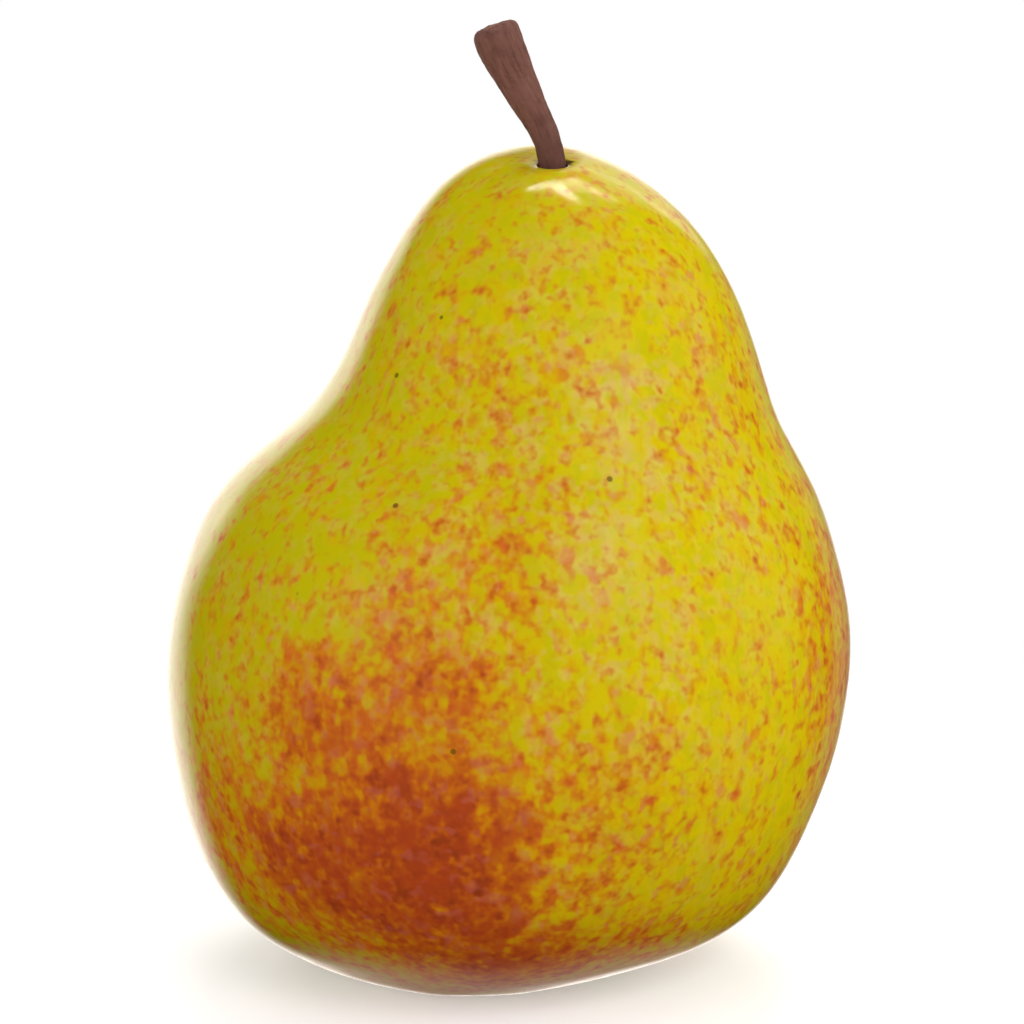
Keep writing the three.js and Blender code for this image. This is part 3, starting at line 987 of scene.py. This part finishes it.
def calyxMaterial():
    material, tree, shader = newMaterial("driedCalyx")
    place = addNode(tree, "ShaderNodeTexCoord").outputs["Object"]
    blotch = noise(tree, place, calyx["blotchScale"], 3.0, 0.6).outputs[0]
    crumb = noise(tree, place, calyx["crumbScale"], 3.0, 0.6).outputs[0]
    colour = tinted(tree, calyx["dry"], blotch, calyx["darkBlotch"], calyx["dryDark"])
    colour = tinted(tree, colour, crumb, calyx["lightCrumb"], calyx["dryLight"])
    gloss = remap(tree, blotch, 0.3, 0.7, *calyx["roughness"])
    finishSurface(tree, shader, colour, gloss, crumb, calyx)
    return material


def tuftTree():
    tree, given, output = newTree("growTuft", {
        "Stamens": "Int", "Spread": "Float", "Length": "Float", "Radius": "Float", "Anther": "Float",
        "Pad": "Float", "Centre": "Vector", "Seed": "Int", "Material": "Material"})

    def chance(low, high, salt):
        inputs = {2: low, 3: high, "Seed": maths(tree, "ADD", given["Seed"], salt)}
        return addNode(tree, "FunctionNodeRandomValue", inputs, data_type="FLOAT").outputs[1]

    # one stamen: a bent thread with a small anther at its end
    bend = scaled(tree, calyx["threadBend"], given["Length"])
    end = scaled(tree, calyx["threadEnd"], given["Length"])
    line = addNode(tree, "GeometryNodeCurveQuadraticBezier", {
        "Resolution": 7, "Start": (0, 0, 0), "Middle": bend, "End": end})
    threadRound = addNode(tree, "GeometryNodeCurvePrimitiveCircle", {
        "Resolution": 6, "Radius": given["Radius"]})
    thread = addNode(tree, "GeometryNodeCurveToMesh", {
        "Curve": line.outputs[0], "Profile Curve": threadRound.outputs[0], "Fill Caps": True})
    anther = addNode(tree, "GeometryNodeMeshIcoSphere", {"Radius": given["Anther"], "Subdivisions": 2})
    atEnd = addNode(tree, "GeometryNodeTransform", {
        "Geometry": anther.outputs[0], "Translation": end, "Scale": calyx["antherShape"]})
    stamen = addNode(tree, "GeometryNodeJoinGeometry")
    tree.links.new(thread.outputs[0], stamen.inputs[0])
    tree.links.new(atEnd.outputs[0], stamen.inputs[0])

    # spread over the eye, each leaning outwards
    turn = chance(0.0, 2 * pi, 1)
    away = maths(tree, "MULTIPLY", maths(tree, "SQRT", chance(0.02, 1.0, 2)), given["Spread"])
    spot = join(tree, maths(tree, "MULTIPLY", away, maths(tree, "COSINE", turn)),
                maths(tree, "MULTIPLY", away, maths(tree, "SINE", turn)), 0.0)
    points = addNode(tree, "GeometryNodePoints", {
        "Count": given["Stamens"], "Position": vectorMaths(tree, "ADD", spot, given["Centre"])})
    heading = maths(tree, "ADD", turn, chance(-calyx["headingSway"], calyx["headingSway"], 3))
    spread = addNode(tree, "GeometryNodeInstanceOnPoints", {
        "Points": points.outputs[0], "Instance": stamen.outputs[0],
        "Rotation": join(tree, chance(*calyx["sideLean"], 4), chance(*calyx["outLean"], 5), heading)})
    tree.links.new(chance(*calyx["lengthShare"], 6), spread.inputs["Scale"])

    # the lumpy bed they stand in
    bed = addNode(tree, "GeometryNodeMeshIcoSphere", {"Radius": given["Pad"], "Subdivisions": 4})
    low = addNode(tree, "GeometryNodeTransform", {
        "Geometry": bed.outputs[0], "Translation": given["Centre"], "Scale": calyx["padShape"]}).outputs[0]
    place = addNode(tree, "GeometryNodeInputPosition").outputs[0]
    lump = noise(tree, place, calyx["lumpScale"], 3.0).outputs[0]
    lump = maths(tree, "SUBTRACT", lump, calyx["lumpMiddle"])
    height = maths(tree, "MULTIPLY", lump, calyx["lumpHeight"])
    both = addNode(tree, "GeometryNodeJoinGeometry")
    tree.links.new(spread.outputs[0], both.inputs[0])
    tree.links.new(pushOut(tree, low, height), both.inputs[0])
    finishTree(tree, output, both.outputs[0], given["Material"])
    return tree


def makeCalyx(material):
    eye = Vector(((tuftLow.x + tuftHigh.x) / 2, (tuftLow.y + tuftHigh.y) / 2, tuftLow.z + 1.7 * mm))
    values = {"Sides": calyx["sides"], "Levels": calyx["levels"], "Copies": calyx["leaves"], "Centre": eye,
              "Ridge": calyx["wrinkle"], "Ridge Size": calyx["wrinkleSize"],
              "Ridge Stretch": calyx["wrinkleStretch"], "Seed": calyx["leafSeed"], "Material": material}
    leaves = growMesh(pointsObject("calyx_leaves", loftRows(leafStations)), loftTree(), values)
    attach(leaves, "root")
    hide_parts(*[f"sepal_{number + 1}" for number in range(calyx["leaves"])])

    values = {"Stamens": calyx["stamens"], "Spread": calyx["stamenSpread"], "Length": calyx["stamenLength"],
              "Radius": calyx["stamenRadius"], "Anther": calyx["antherRadius"], "Pad": calyx["padRadius"],
              "Centre": eye, "Seed": calyx["seed"], "Material": material}
    tuft = growMesh(pointsObject("stamen_tuft", [{"x": 0}]), tuftTree(), values)
    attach(tuft, "root")
    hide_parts("dried_stamens")
    return leaves, tuft


stemPiece = makeStem()
print("stem grown:", len(stemPiece.data.polygons), "faces")
calyxPieces = makeCalyx(calyxMaterial())
print("calyx grown:", sum(len(piece.data.polygons) for piece in calyxPieces), "faces")
